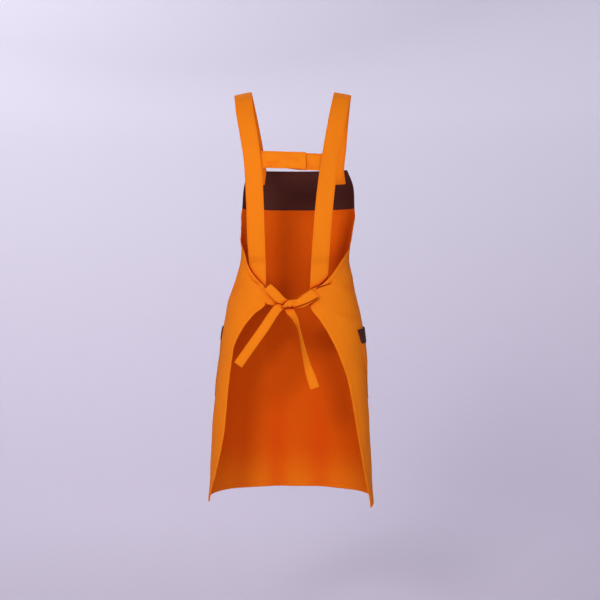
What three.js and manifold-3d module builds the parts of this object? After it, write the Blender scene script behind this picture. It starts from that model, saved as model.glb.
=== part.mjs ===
// A kitchen apron in its worn form: a panel that wraps round the hips, a contrast band across the top of
// its bib, two patch pockets with contrast bands, two shoulder straps joined by tabs across the back, and
// waist ties in a bow.
// Millimetres, +Z up. The wearer faces -Y, so +X is the wearer's left.
// The origin lies midway between the two straps, where they rest on the shoulders.
import * as THREE from "three";
import { mergeVertices } from "three/addons/utils/BufferGeometryUtils.js";
import Module from "manifold-3d";

// Cloth
const CLOTH = 1.2; // wall of the panel, the pockets and their bands
const DOUBLED = 2.0; // wall of the straps, tabs and ties, which are sewn double
const HEM = 0.8; // what the turned hem adds to the wall at the panel's edges
const GAP = 0.4; // clearance between pieces that are sewn to each other

// Widths of the strips
const STRAP_WIDTH = 40;
const TAB_HEIGHT = 38;
const TAB_LEAN_DEG = 4.5; // the tabs lean forward with the straps
const TUCK = 3.2; // how far inside the panel a strap lies where it goes in behind a wing
const TUCK_BELOW = -405; // the height where that starts
const TIE_ROOT_GAP = 1.5; // between the wing's end and the middle of the tie that is sewn to it
const TIE_AT_KNOT = 16; // a tie is gathered to this width where it enters the knot

// Heights on the front of the panel, below the shoulders
const HEM_LINE = -941;
const POCKET_BOTTOM = -705;
const POCKET_BAND_BOTTOM = -570;
const POCKET_TOP = -541;
const TIE_ROOT_BOTTOM = -468;
const TIE_ROOT_TOP = -434;
const BIB_SEAM = -261;
const BIB_TOP = -172;

// The panel's grid: steps across it, and the share of its half-width where the pockets start and end
const PANEL_STEPS = 44;
const POCKET_INNER = 5 / 22;
const POCKET_OUTER = 17 / 22;
const POCKET_STEPS = 12;
const POCKET_SWELL = 2.5; // how far a pocket's middle stands off the panel
const BAND_STEPS = 20;

// Steps along the strips
const STRAP_STEPS = 44;
const TAB_STEPS = 12;
const LEAD_STEPS = 6;
const LOOP_STEPS = 28;
const TAIL_STEPS = 24;

// The knot of the bow
const KNOT = { x: 9, y: 100.5, z: -490.5, length: 38, radius: 11.5, flatten: 0.72, tiltDeg: 18, sides: 16 };
const KNOT_PROFILE = [
  { along: 0.0, radius: 0.0 },
  { along: 0.0, radius: 0.62 },
  { along: 0.12, radius: 0.84 },
  { along: 0.32, radius: 1.0 },
  { along: 0.5, radius: 0.94 },
  { along: 0.68, radius: 1.0 },
  { along: 0.88, radius: 0.84 },
  { along: 1.0, radius: 0.62 },
  { along: 1.0, radius: 0.0 },
];

// Where the two leads end inside the knot, from its middle: out to their own side, under it, and down its tilt
const LEAD_END = { out: 8, under: 3.5, drop: 3 };

// The plan outline that the cloth follows at each height: half-width, depth in front of and behind the
// middle, and how far the outline is shifted sideways.
const ROUND = 2.3; // 2 is an ellipse, and more is squarer
const OUTLINE = [
  { z: -960, half: 192, front: 136, back: 228, shift: 0 },
  { z: -880, half: 187.5, front: 132, back: 168, shift: 0 },
  { z: -800, half: 183.5, front: 129, back: 142, shift: 0 },
  { z: -700, half: 177, front: 125, back: 128, shift: -1 },
  { z: -592, half: 168.5, front: 120, back: 118, shift: -4 },
  { z: -507, half: 155, front: 114, back: 104, shift: -4 },
  { z: -437, half: 137, front: 109, back: 88, shift: -7 },
  { z: -381, half: 125.5, front: 109, back: 86, shift: -10 },
  { z: -362, half: 126, front: 110, back: 88, shift: -11 },
  { z: -341, half: 132, front: 113, back: 92, shift: -11 },
  { z: -307, half: 147, front: 116, back: 96, shift: -10 },
  { z: -277, half: 160, front: 118, back: 100, shift: -10 },
  { z: -240, half: 162, front: 116, back: 100, shift: -10 },
  { z: -172, half: 165, front: 102, back: 100, shift: -8 },
];

// Where the panel's two side edges run, keyed by the height of the same cross-grain line at the front.
// A turn is counted in degrees from the front towards that side. The edges run up the back opening to the
// tie roots, forward along the top of the wings, and up the armholes to the bib.
const EDGES = [
  { front: HEM_LINE, leftTurn: 107, leftZ: -945, rightTurn: 115, rightZ: -954 },
  { front: -865, leftTurn: 116.5, leftZ: -868, rightTurn: 117.5, rightZ: -876 },
  { front: -765, leftTurn: 120.5, leftZ: -770, rightTurn: 120.5, rightZ: -779 },
  { front: -665, leftTurn: 120, leftZ: -671, rightTurn: 125, rightZ: -681 },
  { front: -590, leftTurn: 120.8, leftZ: -598, rightTurn: 133.5, rightZ: -610 },
  { front: -541, leftTurn: 127.5, leftZ: -550, rightTurn: 141.5, rightZ: -561 },
  { front: -500, leftTurn: 137, leftZ: -516, rightTurn: 149.5, rightZ: -527 },
  { front: TIE_ROOT_BOTTOM, leftTurn: 147, leftZ: -492.5, rightTurn: 157.5, rightZ: -499 },
  { front: TIE_ROOT_TOP, leftTurn: 142.5, leftZ: -456, rightTurn: 155.2, rightZ: -461 },
  { front: -420, leftTurn: 133.5, leftZ: -440, rightTurn: 144, rightZ: -451.5 },
  { front: -404, leftTurn: 123.8, leftZ: -420.5, rightTurn: 132.3, rightZ: -430 },
  { front: -386, leftTurn: 112.5, leftZ: -392.5, rightTurn: 117, rightZ: -396 },
  { front: -366, leftTurn: 104, leftZ: -367, rightTurn: 101, rightZ: -368.5 },
  { front: -352, leftTurn: 92, leftZ: -353, rightTurn: 89, rightZ: -355 },
  { front: -338, leftTurn: 77, leftZ: -338.5, rightTurn: 80, rightZ: -339 },
  { front: -318, leftTurn: 67, leftZ: -318, rightTurn: 73, rightZ: -318 },
  { front: -298, leftTurn: 62, leftZ: -298, rightTurn: 69, rightZ: -298 },
  { front: BIB_SEAM, leftTurn: 58, leftZ: BIB_SEAM, rightTurn: 65, rightZ: BIB_SEAM },
  { front: -216, leftTurn: 57, leftZ: -216, rightTurn: 64.5, rightZ: -216 },
  { front: BIB_TOP, leftTurn: 54, leftZ: BIB_TOP, rightTurn: 60, rightZ: BIB_TOP },
];

// Soft flutes of the skirt. Each swells out from the hips to its full depth at the hem.
const FLUTES_START = -600;
const FLUTES = [
  { turnDeg: 54, spreadDeg: 12, depth: 6 },
  { turnDeg: 14, spreadDeg: 10, depth: 7 },
  { turnDeg: -28, spreadDeg: 11, depth: 7 },
  { turnDeg: -62, spreadDeg: 12, depth: 5 },
];

// Front heights of the panel's rows. They include the pockets' own lines, so a pocket lies even on the panel.
const PANEL_ROWS = [
  HEM_LINE, -915, -885, -850, -815, -780, -742, POCKET_BOTTOM, -660, -615, POCKET_BAND_BOTTOM,
  POCKET_TOP, -515, -490, TIE_ROOT_BOTTOM, -451, TIE_ROOT_TOP, -427, -420, -412, -404, -395, -386,
  -376, -366, -359, -352, -345, -338, -328, -318, -298, -280, BIB_SEAM,
];
const POCKET_ROWS = [POCKET_BOTTOM, -660, -615, POCKET_BAND_BOTTOM];
const TIE_ROOT_ROWS = [TIE_ROOT_BOTTOM, -451, TIE_ROOT_TOP];
const BIB_BAND_ROWS = [BIB_SEAM, -240, -216, -194, BIB_TOP];

// The middle line of each strap, from the bib over the shoulder to the wing of the panel.
// Lean turns the strap's outer edge backwards, and tilt lowers it.
const STRAPS = {
  left: [
    { x: 82, y: -90, z: -170.6, lean: 18, tilt: 0 },
    { x: 88, y: -84, z: -120, lean: 15, tilt: 4 },
    { x: 98, y: -66, z: -68, lean: 10, tilt: 8 },
    { x: 107, y: -38, z: -25, lean: 4, tilt: 11 },
    { x: 112, y: 0, z: -3, lean: 0, tilt: 11 },
    { x: 110, y: 34, z: -17, lean: -3, tilt: 10 },
    { x: 104, y: 64, z: -61, lean: -6, tilt: 6 },
    { x: 94.5, y: 83, z: -115, lean: -9, tilt: 2 },
    { x: 86, y: 91, z: -172, lean: -11, tilt: 0 },
    { x: 81.5, y: 90, z: -250, lean: -13, tilt: 0 },
    { x: 77.5, y: 80, z: -345, lean: -18, tilt: 0 },
    { x: 75.5, y: 67.5, z: -418, lean: -22, tilt: 0 },
    { x: 75, y: 70.5, z: -442, lean: -23, tilt: 0 },
    { x: 75, y: 76, z: -463, lean: -22, tilt: 0 },
  ],
  right: [
    { x: 112, y: -85, z: -170.6, lean: 23.5, tilt: 0 },
    { x: 113, y: -79, z: -120, lean: 18, tilt: 4 },
    { x: 116, y: -63, z: -68, lean: 11, tilt: 8 },
    { x: 119, y: -37, z: -25, lean: 4, tilt: 11 },
    { x: 121, y: 0, z: -3, lean: 0, tilt: 11 },
    { x: 117.5, y: 34, z: -17, lean: -3, tilt: 10 },
    { x: 108, y: 64, z: -61, lean: -6, tilt: 6 },
    { x: 98, y: 83, z: -115, lean: -9, tilt: 2 },
    { x: 88, y: 91, z: -172, lean: -11, tilt: 0 },
    { x: 78, y: 90.5, z: -250, lean: -10, tilt: 0 },
    { x: 70, y: 84, z: -345, lean: -11, tilt: 0 },
    { x: 65, y: 76.5, z: -425, lean: -12, tilt: 0 },
    { x: 64, y: 79, z: -447, lean: -12.5, tilt: 0 },
    { x: 63, y: 82.5, z: -470, lean: -12, tilt: 0 },
  ],
};

// The two tabs that join the straps. The left one laps over the right one and fastens to it.
const TABS = {
  left: [
    { x: 84, y: 87.6, z: -166.2 },
    { x: 66, y: 90.8, z: -166.6 },
    { x: 48, y: 94, z: -167.1 },
    { x: 20, y: 95.4, z: -168 },
    { x: -10, y: 95.6, z: -168.9 },
    { x: -34, y: 94.8, z: -169.6 },
  ],
  right: [
    { x: -86, y: 87.6, z: -173.2 },
    { x: -66, y: 90.6, z: -172.5 },
    { x: -46, y: 91.8, z: -171.8 },
    { x: -20, y: 92, z: -170.8 },
    { x: 6, y: 92, z: -169.8 },
  ],
};

// The loops of the bow run out of the knot, fold at their tips and run back behind themselves.
const LOOPS = {
  left: [
    { x: 14, y: 103.2, z: -490, width: 15 },
    { x: 30, y: 108, z: -474.5, width: 20 },
    { x: 44, y: 109, z: -462, width: 23 },
    { x: 51, y: 107, z: -456, width: 24 },
    { x: 53.5, y: 104, z: -454, width: 24 },
    { x: 51, y: 101, z: -456.5, width: 24 },
    { x: 40, y: 100, z: -467, width: 22 },
    { x: 28, y: 100, z: -478, width: 19 },
    { x: 14, y: 100, z: -491, width: 15 },
  ],
  right: [
    { x: 2, y: 104.2, z: -488, width: 15 },
    { x: -14, y: 108.5, z: -482.5, width: 20 },
    { x: -36, y: 111, z: -476, width: 23 },
    { x: -56, y: 109.5, z: -471, width: 24 },
    { x: -62.5, y: 106, z: -470.5, width: 24 },
    { x: -57, y: 102.6, z: -475, width: 24 },
    { x: -36, y: 102, z: -481, width: 22 },
    { x: -16, y: 101.6, z: -486, width: 19 },
    { x: 2, y: 101.2, z: -489.5, width: 15 },
  ],
};
const LOOP_SLOPE_DEG = { left: 42, right: -16 }; // how far each loop rises towards the wearer's left

// The free ends of the ties. Twist turns a tie about its own length.
const TAILS = {
  left: [
    { x: 19, y: 100.5, z: -494, width: 15, twist: 0 },
    { x: 33, y: 103, z: -509, width: 20, twist: 0 },
    { x: 60, y: 108, z: -547, width: 24, twist: 4 },
    { x: 90, y: 105, z: -590, width: 24, twist: 2 },
    { x: 118, y: 97, z: -630, width: 24, twist: 0 },
  ],
  right: [
    { x: 7, y: 100.5, z: -494, width: 14, twist: 0 },
    { x: 3, y: 102, z: -507, width: 20, twist: 12 },
    { x: -8, y: 105, z: -526, width: 23, twist: 45 },
    { x: -20, y: 108, z: -551, width: 24, twist: 63 },
    { x: -31, y: 111, z: -590, width: 24, twist: 56 },
    { x: -41, y: 113, z: -630, width: 24, twist: 40 },
    { x: -47, y: 113.5, z: -654, width: 24, twist: 14 },
    { x: -54.5, y: 113, z: -681, width: 24, twist: 2 },
  ],
};

const orange = new THREE.MeshStandardMaterial({ color: 0xe8801c, roughness: 0.85, metalness: 0 });
const brown = new THREE.MeshStandardMaterial({ color: 0x3a2424, roughness: 0.85, metalness: 0 });
const apron = new THREE.Group();
const wasm = await Module();
wasm.setup();

const radians = THREE.MathUtils.degToRad;
const vector = (x, y, z) => new THREE.Vector3(x, y, z);

// A column of a table at any value of its key, on a smooth curve through the rows that never overshoots them.
function read(table, key, at, column) {
  const last = table.length - 1;
  const slope = (i) => (table[i + 1][column] - table[i][column]) / (table[i + 1][key] - table[i][key]);
  const steepness = (i) => {
    if (i === 0) return slope(0);
    if (i === last) return slope(last - 1);
    const before = slope(i - 1);
    const after = slope(i);
    return before * after > 0 ? (2 * before * after) / (before + after) : 0;
  };
  let i = 0;
  while (i < last - 1 && at > table[i + 1][key]) i += 1;
  const width = table[i + 1][key] - table[i][key];
  const t = THREE.MathUtils.clamp((at - table[i][key]) / width, 0, 1);
  const rise = t * t * (3 - 2 * t);
  const swing = steepness(i) * t * (1 - t) * (1 - t) - steepness(i + 1) * t * t * (1 - t);
  return table[i][column] * (1 - rise) + table[i + 1][column] * rise + width * swing;
}

// A point of the surface that the cloth lies on, at a turn from the front and a height.
function onOutline(turn, z) {
  const across = Math.abs(Math.sin(turn)) / read(OUTLINE, "z", z, "half");
  const depth = Math.abs(Math.cos(turn)) / read(OUTLINE, "z", z, Math.cos(turn) > 0 ? "front" : "back");
  let reach = (across ** ROUND + depth ** ROUND) ** (-1 / ROUND);
  const flare = THREE.MathUtils.smoothstep(FLUTES_START - z, 0, FLUTES_START - HEM_LINE);
  for (const { turnDeg, spreadDeg, depth: flute } of FLUTES) {
    const off = (THREE.MathUtils.radToDeg(turn) - turnDeg) / spreadDeg;
    reach += flare * flute * Math.exp(-off * off);
  }
  return vector(read(OUTLINE, "z", z, "shift") + reach * Math.sin(turn), -reach * Math.cos(turn), z);
}

// Brings a point of a strap in, where it would touch the wing that it goes in behind.
function tucked(point) {
  if (point.z > TUCK_BELOW) return point;
  const shift = read(OUTLINE, "z", point.z, "shift");
  const cloth = onOutline(Math.atan2(point.x - shift, -point.y), point.z);
  const limit = Math.hypot(cloth.x - shift, cloth.y) - TUCK;
  const share = Math.min(1, limit / Math.hypot(point.x - shift, point.y));
  return vector(shift + (point.x - shift) * share, point.y * share, point.z);
}

// A point of the panel: share runs from -1 at the right edge to 1 at the left edge of a cross-grain line.
function onPanel(share, front) {
  const left = read(EDGES, "front", front, "leftTurn");
  const right = read(EDGES, "front", front, "rightTurn");
  const turn = radians((left - right) / 2 + (share * (left + right)) / 2);
  const edge = read(EDGES, "front", front, share > 0 ? "leftZ" : "rightZ");
  return onOutline(turn, front + (edge - front) * share * share);
}

// Evenly spaced values, both ends included.
function spread(from, to, steps) {
  return Array.from({ length: steps + 1 }, (_, i) => from + ((to - from) * i) / steps);
}

// The panel's points on a grid of shares and front heights.
const panelGrid = (shares, fronts) => fronts.map((front) => shares.map((share) => onPanel(share, front)));

// The unit normal at each point of a grid.
function normalsOf(grid) {
  const near = (list, i) => list[THREE.MathUtils.clamp(i, 0, list.length - 1)];
  return grid.map((row, r) =>
    row.map((_, c) => {
      const across = near(row, c + 1).clone().sub(near(row, c - 1));
      const along = near(grid, r + 1)[c].clone().sub(near(grid, r - 1)[c]);
      return across.cross(along).normalize();
    }),
  );
}

// Moves a grid along its normals, by a distance that may change over it.
function offset(grid, distance) {
  const normals = normalsOf(grid);
  return grid.map((row, r) => row.map((p, c) => p.clone().addScaledVector(normals[r][c], distance(r, c))));
}

// A closed wall of cloth with the grid in its middle.
function wall(grid, thickness, hem = 0) {
  const rows = grid.length;
  const columns = grid[0].length;
  const onEdge = (r, c) => r === 0 || c === 0 || c === columns - 1;
  const outer = offset(grid, () => thickness / 2);
  const inner = offset(grid, (r, c) => -thickness / 2 - (onEdge(r, c) ? hem : 0));
  const points = [...outer.flat(), ...inner.flat()];
  const behind = rows * columns;
  const triangles = [];
  const quad = (a, b, c, d) => triangles.push(a, b, c, a, c, d);
  for (let r = 0; r < rows - 1; r += 1) {
    for (let c = 0; c < columns - 1; c += 1) {
      const a = r * columns + c;
      quad(a, a + 1, a + 1 + columns, a + columns);
      quad(behind + a, behind + a + columns, behind + a + 1 + columns, behind + a + 1);
    }
  }
  const rim = [];
  for (let c = 0; c < columns - 1; c += 1) rim.push(c);
  for (let r = 0; r < rows - 1; r += 1) rim.push(r * columns + columns - 1);
  for (let c = columns - 1; c > 0; c -= 1) rim.push((rows - 1) * columns + c);
  for (let r = rows - 1; r > 0; r -= 1) rim.push(r * columns);
  rim.forEach((a, i) => {
    const b = rim[(i + 1) % rim.length];
    quad(a, behind + a, behind + b, b);
  });
  const geometry = new THREE.BufferGeometry().setFromPoints(points);
  geometry.setIndex(triangles);
  return geometry;
}

function addPiece(name, geometry, material) {
  geometry.computeVertexNormals();
  const mesh = new THREE.Mesh(geometry, material);
  mesh.name = name;
  apron.add(mesh);
}

// A strip through the rows of a table, cut across along the direction that acrossAt gives.
function strip(rows, steps, widthAt, acrossAt) {
  const line = new THREE.CatmullRomCurve3(rows.map(({ x, y, z }) => vector(x, y, z)), false, "centripetal");
  const keyed = rows.map((row, i) => ({ ...row, key: i / (rows.length - 1) }));
  return spread(0, 1, steps).map((t) => {
    const column = (name) => read(keyed, "key", t, name);
    const middle = line.getPoint(t);
    const reach = acrossAt(line.getTangent(t), column).multiplyScalar(widthAt(column) / 2);
    return [-1, 0, 1].map((side) => middle.clone().addScaledVector(reach, side));
  });
}

// Joining and cutting of closed geometries
function solidOf(geometry) {
  const bare = new THREE.BufferGeometry().setAttribute("position", geometry.getAttribute("position"));
  bare.setIndex(geometry.index);
  const merged = mergeVertices(bare, 1e-4);
  const vertProperties = new Float32Array(merged.getAttribute("position").array);
  const triVerts = new Uint32Array(merged.index.array);
  return new wasm.Manifold(new wasm.Mesh({ numProp: 3, vertProperties, triVerts }));
}

function geometryOf(solid) {
  const { vertProperties, triVerts } = solid.getMesh();
  const geometry = new THREE.BufferGeometry();
  geometry.setAttribute("position", new THREE.BufferAttribute(new Float32Array(vertProperties), 3));
  geometry.setIndex(new THREE.BufferAttribute(new Uint32Array(triVerts), 1));
  return geometry;
}

// The knot is a gathered barrel, flattened towards the back. Clearance makes it larger all round.
function knotGeometry(clearance) {
  const length = KNOT.length + 2 * clearance;
  const profile = KNOT_PROFILE.map(({ along, radius }) => {
    const reach = radius * KNOT.radius + (radius > 0 ? clearance / KNOT.flatten : 0);
    return new THREE.Vector2(reach, (along - 0.5) * length);
  });
  return new THREE.LatheGeometry(profile, KNOT.sides)
    .rotateZ(-Math.PI / 2)
    .scale(1, KNOT.flatten, 1)
    .rotateY(radians(KNOT.tiltDeg))
    .translate(KNOT.x, KNOT.y, KNOT.z);
}

const aroundKnot = solidOf(knotGeometry(GAP));
const cutByKnot = (grid) => geometryOf(solidOf(wall(grid, DOUBLED)).subtract(aroundKnot));

// Panel and bib band
addPiece("apron_panel", wall(panelGrid(spread(-1, 1, PANEL_STEPS), PANEL_ROWS), CLOTH, HEM), orange);
const bandRows = BIB_BAND_ROWS.map((front, i) => (i === 0 ? front + GAP : front));
addPiece("bib_band", wall(panelGrid(spread(-1, 1, BAND_STEPS), bandRows), CLOTH), brown);

// Pockets: a patch on the panel and a contrast band along its mouth
for (const [side, sign] of [["left", 1], ["right", -1]]) {
  const ends = [sign * POCKET_INNER, sign * POCKET_OUTER].sort((a, b) => a - b);
  const pocketShares = spread(ends[0], ends[1], POCKET_STEPS);
  const stand = (share, front) => {
    const across = Math.sin(Math.PI * (Math.abs(share) - POCKET_INNER) / (POCKET_OUTER - POCKET_INNER));
    const up = (front - POCKET_BOTTOM) / (POCKET_TOP - POCKET_BOTTOM);
    return CLOTH + GAP + POCKET_SWELL * across * Math.sin((Math.PI / 2) * up);
  };
  const layer = (fronts) => {
    return offset(panelGrid(pocketShares, fronts), (r, c) => stand(pocketShares[c], fronts[r]));
  };
  addPiece(`pocket_${side}`, wall(layer(POCKET_ROWS), CLOTH), orange);
  addPiece(`pocket_band_${side}`, wall(layer([POCKET_BAND_BOTTOM + GAP, POCKET_TOP]), CLOTH), brown);
}

// Shoulder straps
for (const [side, sign] of [["left", 1], ["right", -1]]) {
  const rows = STRAPS[side].map((row) => ({ ...row, x: sign * row.x }));
  const acrossAt = (tangent, column) => {
    const lean = radians(column("lean"));
    const tilt = radians(column("tilt"));
    return vector(sign * Math.cos(lean) * Math.cos(tilt), Math.sin(lean), -Math.sin(tilt)).normalize();
  };
  const strap = strip(rows, STRAP_STEPS, () => STRAP_WIDTH, acrossAt).map((row) => row.map(tucked));
  addPiece(`strap_${side}`, wall(strap, DOUBLED), orange);
}

// Tabs across the back
for (const side of ["left", "right"]) {
  const lean = radians(TAB_LEAN_DEG);
  const upright = () => vector(0, -Math.sin(lean), Math.cos(lean));
  const tab = strip(TABS[side], TAB_STEPS, () => TAB_HEIGHT, upright);
  addPiece(`back_tab_${side}`, wall(tab, DOUBLED), orange);
}

// Ties: each leads from its wing to the knot, and leaves it as a loop and a free tail
addPiece("bow_knot", geometryOf(solidOf(knotGeometry(0))), orange);
for (const [side, sign] of [["left", 1], ["right", -1]]) {
  const slope = radians(LOOP_SLOPE_DEG[side]);
  const knotEnd = vector(KNOT.x + sign * LEAD_END.out, KNOT.y - LEAD_END.under, KNOT.z - sign * LEAD_END.drop);
  const lead = spread(0, 1, LEAD_STEPS).map((t) =>
    TIE_ROOT_ROWS.map((front, i) => {
      const end = knotEnd.clone().add(vector(0, 0, ((i - 1) * TIE_AT_KNOT) / 2));
      const root = onPanel(sign, front);
      const start = root.clone().addScaledVector(end.clone().sub(root).normalize(), TIE_ROOT_GAP);
      return start.lerp(end, t);
    }),
  );
  addPiece(`tie_lead_${side}`, cutByKnot(lead), orange);

  const loopAcross = () => vector(-Math.sin(slope), 0, Math.cos(slope));
  const loop = strip(LOOPS[side], LOOP_STEPS, (column) => column("width"), loopAcross);
  addPiece(`bow_loop_${side}`, cutByKnot(loop), orange);

  const tailAcross = (tangent, column) => {
    const flat = vector(-tangent.z, 0, tangent.x).normalize();
    return flat.applyAxisAngle(tangent, radians(column("twist")));
  };
  const tail = strip(TAILS[side], TAIL_STEPS, (column) => column("width"), tailAcross);
  addPiece(`tie_tail_${side}`, cutByKnot(tail), orange);
}

export default apron;
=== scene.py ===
import math

import bpy
import numpy as np
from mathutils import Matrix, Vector
from mathutils.bvhtree import BVHTree


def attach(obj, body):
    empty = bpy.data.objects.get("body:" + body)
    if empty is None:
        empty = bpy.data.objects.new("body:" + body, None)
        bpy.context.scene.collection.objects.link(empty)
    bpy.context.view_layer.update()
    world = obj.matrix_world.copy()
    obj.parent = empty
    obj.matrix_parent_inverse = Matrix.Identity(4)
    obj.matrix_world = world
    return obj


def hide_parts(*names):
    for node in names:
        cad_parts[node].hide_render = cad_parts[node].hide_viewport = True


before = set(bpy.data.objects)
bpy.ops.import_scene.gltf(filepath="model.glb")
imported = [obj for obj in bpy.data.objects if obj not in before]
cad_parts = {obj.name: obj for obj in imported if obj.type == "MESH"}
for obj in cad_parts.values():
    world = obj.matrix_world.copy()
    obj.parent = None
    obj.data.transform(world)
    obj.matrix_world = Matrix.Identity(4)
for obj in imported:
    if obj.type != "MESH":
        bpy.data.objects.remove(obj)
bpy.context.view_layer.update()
scene = bpy.context.scene

# All tables and sizes below are in millimetres, in the frame of the CAD model
mm = 0.001
sides = (("left", 1), ("right", -1))
layerSign = {"outer": 1, "inner": -1}


def table(names, *rows):
    return {name: np.array([row[i] for row in rows], float) for i, name in enumerate(names.split())}


# A column of a table at any value of its key, on a smooth curve that never overshoots the rows
def read(rows, key, column, at):
    keys, values, at = rows[key], rows[column], np.asarray(at, float)
    slope = np.diff(values) / np.diff(keys)
    before, after = slope[:-1], slope[1:]
    rising = before * after > 0
    inner = np.where(rising, 2 * before * after / np.where(rising, before + after, 1), 0)
    steep = np.concatenate([slope[:1], inner, slope[-1:]])
    i = np.clip(np.searchsorted(keys, at) - 1, 0, len(keys) - 2)
    width = keys[i + 1] - keys[i]
    t = np.clip((at - keys[i]) / width, 0, 1)
    rise = t * t * (3 - 2 * t)
    swing = steep[i] * t * (1 - t) ** 2 - steep[i + 1] * t * t * (1 - t)
    return values[i] * (1 - rise) + values[i + 1] * rise + width * swing


# A smooth line through points, evenly shared out between them
def throughPoints(points, t):
    points = np.asarray(points, float)
    last = len(points) - 1
    spot = np.clip(np.asarray(t, float) * last, 0, last)
    i = np.minimum(spot.astype(int), last - 1)
    w = (spot - i)[:, None]
    padded = np.vstack([2 * points[0] - points[1], points, 2 * points[-1] - points[-2]])
    p0, p1, p2, p3 = (padded[i + k] for k in range(4))
    d0, d1, d2 = (np.sqrt(lengths(b - a))[:, None] for a, b in ((p0, p1), (p1, p2), (p2, p3)))
    start = ((p1 - p0) / d0 - (p2 - p0) / (d0 + d1) + (p2 - p1) / d1) * d1
    end = ((p2 - p1) / d1 - (p3 - p1) / (d1 + d2) + (p3 - p2) / d2) * d1
    bend = 3 * (p2 - p1) - 2 * start - end
    return p1 + start * w + bend * w**2 + (2 * (p1 - p2) + start + end) * w**3


def lengths(vectors):
    return np.sqrt((vectors**2).sum(-1))


def unit(vectors):
    return vectors / np.maximum(lengths(vectors), 1e-9)[..., None]


def step(x, low, high):
    t = np.clip((np.asarray(x, float) - low) / (high - low), 0, 1)
    return t * t * (3 - 2 * t)


def bell(x, middle, width):
    return np.exp(-(((x - middle) / width) ** 2))


# Seeded waves of several lengths, added up
def ripples(u, v, look, seedShift=0):
    chance = np.random.default_rng(look["seed"] + seedShift)
    total = 0
    for wave in look["waves"]:
        angle, phase = chance.uniform(0, 2 * math.pi, 2)
        total = total + np.sin((u * math.cos(angle) + v * math.sin(angle)) * 2 * math.pi / wave + phase)
    return look["height"] * (total / math.sqrt(len(look["waves"])))


# Distance along the middle column of a grid from its first row
def runOf(grid):
    return np.concatenate([[0], np.cumsum(lengths(np.diff(grid[:, grid.shape[1] // 2], axis=0)))])


# The form that the cloth lies on, with the heights of the hem, the bib band's edges and its seam
formSettings = {"round": 2.3, "flutesStart": -600, "backReach": 0.98}
hemLine, bandLow, bibSeam, bibTop = -941, -265, -261, -172
outline = table(
    "z half front back shift",
    (-960, 192, 136, 228, 0),
    (-880, 187.5, 132, 168, 0),
    (-800, 183.5, 129, 142, 0),
    (-700, 177, 125, 128, -1),
    (-592, 168.5, 120, 118, -4),
    (-507, 155, 114, 104, -4),
    (-437, 137, 109, 88, -7),
    (-381, 125.5, 109, 86, -10),
    (-362, 126, 110, 88, -11),
    (-341, 132, 113, 92, -11),
    (-307, 147, 116, 96, -10),
    (-277, 160, 118, 100, -10),
    (-240, 162, 116, 100, -10),
    (-172, 165, 102, 100, -8),
)
flutes = table("turn spread depth", (54, 12, 6), (14, 10, 7), (-28, 11, 7), (-62, 12, 5))


def fluteHeight(turn, z):
    flare = step(formSettings["flutesStart"] - z, 0, formSettings["flutesStart"] - hemLine)
    angle = np.degrees(turn)
    return flare * sum(depth * bell(angle, at, spread) for at, spread, depth in zip(*flutes.values()))


def onOutline(turn, z):
    across = np.abs(np.sin(turn)) / read(outline, "z", "half", z)
    facing = np.where(np.cos(turn) > 0, read(outline, "z", "front", z), read(outline, "z", "back", z))
    power = formSettings["round"]
    reach = (across**power + (np.abs(np.cos(turn)) / facing) ** power) ** (-1 / power) + fluteHeight(turn, z)
    shift = read(outline, "z", "shift", z)
    return np.stack([shift + reach * np.sin(turn), -reach * np.cos(turn), z + 0 * reach], -1)


# The angle round the form at which a point lies
def turnOf(points):
    return np.arctan2(points[..., 0] - read(outline, "z", "shift", points[..., 2]), -points[..., 1])


# The same point, brought towards the inside to that depth under the form's surface
def underOutline(points, depth):
    shift = read(outline, "z", "shift", points[..., 2])
    out = points[..., 0] - shift
    cloth = onOutline(turnOf(points), points[..., 2])
    limit = np.hypot(cloth[..., 0] - shift, cloth[..., 1]) - depth
    share = limit / np.hypot(out, points[..., 1])
    return np.stack([shift + out * share, points[..., 1] * share, points[..., 2]], -1)


# The same point at the back, brought forward where it is less than that depth behind the form's surface
def tuckBehind(points, depth):
    x, y, z = np.moveaxis(points, -1, 0)
    across = np.abs(x - read(outline, "z", "shift", z)) / read(outline, "z", "half", z)
    power = formSettings["round"]
    across = np.clip(across, 0, formSettings["backReach"])
    cloth = read(outline, "z", "back", z) * (1 - across**power) ** (1 / power)
    return np.stack([x, np.where(y > 0, np.minimum(y, cloth - depth), y), z], -1)


# The panel's side edges, keyed by the height of the same cross-grain line at the front
edges = table(
    "front leftTurn leftZ rightTurn rightZ",
    (-941, 107, -945, 115, -954),
    (-865, 116.5, -868, 117.5, -876),
    (-765, 120.5, -770, 120.5, -779),
    (-665, 120, -671, 125, -681),
    (-590, 120.8, -598, 133.5, -610),
    (-541, 127.5, -550, 141.5, -561),
    (-500, 137, -516, 149.5, -527),
    (-468, 147, -492.5, 157.5, -499),
    (-434, 142.5, -456, 155.2, -461),
    (-420, 133.5, -440, 144, -451.5),
    (-404, 123.8, -420.5, 132.3, -432),
    (-386, 112.5, -392.5, 117, -396),
    (-366, 104, -367, 101, -368.5),
    (-352, 92, -353, 89, -355),
    (-338, 77, -338.5, 80, -339),
    (-318, 67, -318, 73, -318),
    (-298, 62, -298, 69, -298),
    (-261, 58, -261, 65, -261),
    (-216, 57, -216, 64.5, -216),
    (-172, 54, -172, 60, -172),
)

# Small steps by which the slopes of the panel are measured
probeSettings = {
    "share": 0.002,
    "row": 0.5,
    "edgeShare": 0.01,
    "edgeRow": 0.6,
    "edgeRows": 500,
    "evenOver": 13,
    "leastSquare": 0.3,
}


def grown(share, front):
    return np.broadcast_arrays(np.asarray(share, float), np.asarray(front, float))


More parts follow.
